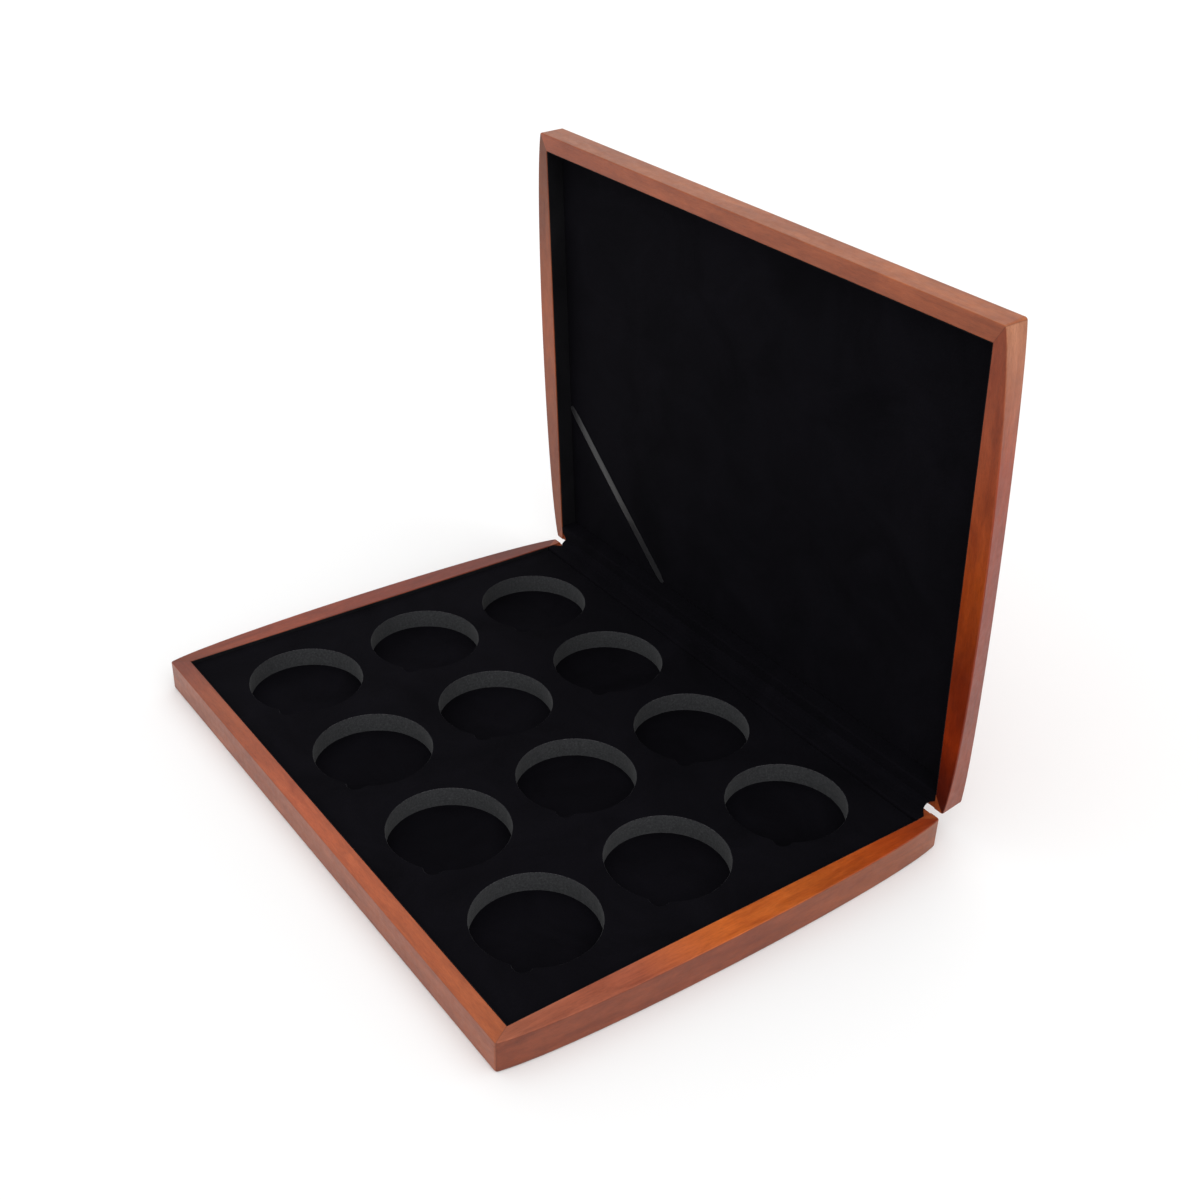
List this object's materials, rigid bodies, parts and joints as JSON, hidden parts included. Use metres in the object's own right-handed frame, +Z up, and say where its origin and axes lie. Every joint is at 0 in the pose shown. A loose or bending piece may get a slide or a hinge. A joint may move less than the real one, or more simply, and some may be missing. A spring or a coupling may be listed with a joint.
{
  "type": "coin display case",
  "caption": "Shallow hinged wooden coin case with bowed sides: round wells in a velvet-faced foam insert, and a lined lid with a corner ribbon.",
  "frame": {"origin": "centre of the flat underside of the base", "axes": "+X along the hinge, to the right for someone facing the open case; +Y from the front rail towards the hinge; +Z up"},
  "size_m": [0.2862, 0.2239, 0.2268],
  "materials": {
    "stained_wood": "red-brown cherry stain under satin lacquer",
    "black_velvet": "short black velvet nap",
    "grey_foam": "dark grey closed-cell foam, cut edge",
    "greyboard": "plain stiff card",
    "satin_ribbon": "woven satin with a soft sheen",
    "brass": "satin brass"
  },
  "bodies": {
    "base": {"base_front_rail": "stained_wood", "base_back_rail": "stained_wood", "base_left_rail": "stained_wood", "base_right_rail": "stained_wood", "base_floor_panel": "stained_wood", "well_floor_card": "greyboard", "well_floor_velvet": "black_velvet", "foam_insert": "grey_foam", "insert_velvet": "black_velvet", "base_front_lining": "black_velvet", "base_left_lining": "black_velvet", "base_right_lining": "black_velvet", "base_hinge_lining": "black_velvet", "left_hinge_base_leaf": "brass", "right_hinge_base_leaf": "brass", "left_hinge_pin": "brass", "right_hinge_pin": "brass", "base_hinge_screws": "brass"},
    "lid": {"lid_front_rail": "stained_wood", "lid_back_rail": "stained_wood", "lid_left_rail": "stained_wood", "lid_right_rail": "stained_wood", "lid_top_panel": "stained_wood", "lid_backing_card": "greyboard", "lid_velvet": "black_velvet", "certificate_ribbon": "satin_ribbon", "lid_front_lining": "black_velvet", "lid_left_lining": "black_velvet", "lid_right_lining": "black_velvet", "lid_hinge_lining": "black_velvet", "left_hinge_lid_leaf": "brass", "right_hinge_lid_leaf": "brass", "lid_hinge_screws": "brass"}
  },
  "joints": [
    {"name": "lid_hinge", "type": "hinge", "parent": "base", "child": "lid", "pos_m": [0, 0.1067, 0.0143], "axis": [-1, 0, 0], "range_deg": [-86.4, 8]}
  ]
}
